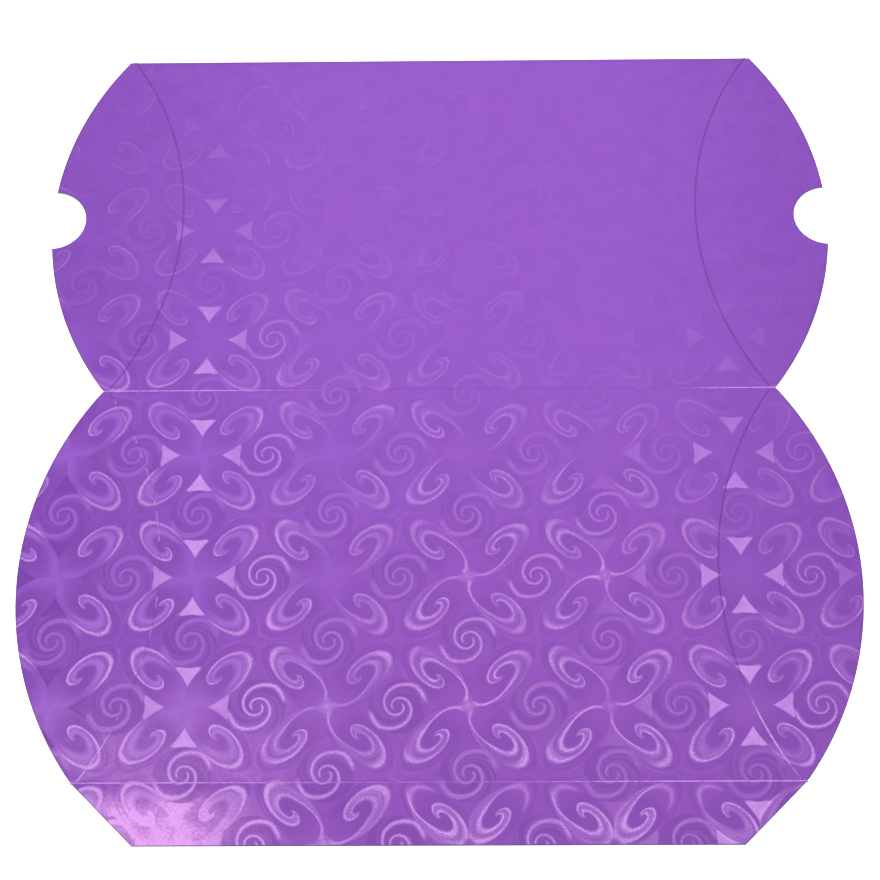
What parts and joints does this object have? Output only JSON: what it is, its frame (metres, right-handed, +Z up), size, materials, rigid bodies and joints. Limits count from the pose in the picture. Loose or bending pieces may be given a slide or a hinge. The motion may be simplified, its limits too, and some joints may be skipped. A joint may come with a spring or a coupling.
{
  "type": "pillow box",
  "caption": "Flat pillow-box blank of foil-laminated card: two main panels, curved end flaps with thumb notches and a glue flap, folding at its creases.",
  "frame": {"origin": "middle of the flat sheet's outline, on the underside of the board", "axes": "+X along the spine crease to the right, +Y from the glue flap to the free edge, +Z up out of the foil side"},
  "size_m": [0.2224, 0.2402, 0.0004],
  "materials": {
    "board": "matte",
    "film": "satin",
    "crease": "satin"
  },
  "bodies": {
    "front_panel": {"front_board": "board", "front_film": "film", "spine_crease": "crease", "glue_crease": "crease", "front_left_crease": "crease", "front_right_crease": "crease"},
    "back_panel": {"back_board": "board", "back_film": "film", "back_left_crease": "crease", "back_right_crease": "crease"},
    "glue_flap": {"glue_flap_board": "board", "glue_flap_film": "film"},
    "front_left_flap": {"front_left_flap_board": "board", "front_left_flap_film": "film"},
    "front_right_flap": {"front_right_flap_board": "board", "front_right_flap_film": "film"},
    "back_left_flap": {"back_left_flap_board": "board", "back_left_flap_film": "film"},
    "back_right_flap": {"back_right_flap_board": "board", "back_right_flap_film": "film"}
  },
  "joints": [
    {"name": "spine_fold", "type": "hinge", "parent": "front_panel", "child": "back_panel", "pos_m": [0, 0.00815, -0.00035], "axis": [-1, 0, 0], "range_deg": [0, 180]},
    {"name": "glue_flap_fold", "type": "hinge", "parent": "front_panel", "child": "glue_flap", "pos_m": [0, -0.10385, -0.00005], "axis": [1, 0, 0], "range_deg": [0, 180]},
    {"name": "front_left_flap_fold", "type": "hinge", "parent": "front_panel", "child": "front_left_flap", "pos_m": [-0.0736, -0.04785, -0.00005], "axis": [0, 1, 0], "range_deg": [-90, 0]},
    {"name": "front_right_flap_fold", "type": "hinge", "parent": "front_panel", "child": "front_right_flap", "pos_m": [0.0736, -0.04785, -0.00005], "axis": [0, -1, 0], "range_deg": [-90, 0]},
    {"name": "back_left_flap_fold", "type": "hinge", "parent": "back_panel", "child": "back_left_flap", "pos_m": [-0.0736, 0.06415, -0.00005], "axis": [0, 1, 0], "range_deg": [-90, 0]},
    {"name": "back_right_flap_fold", "type": "hinge", "parent": "back_panel", "child": "back_right_flap", "pos_m": [0.0736, 0.06415, -0.00005], "axis": [0, -1, 0], "range_deg": [-90, 0]}
  ]
}
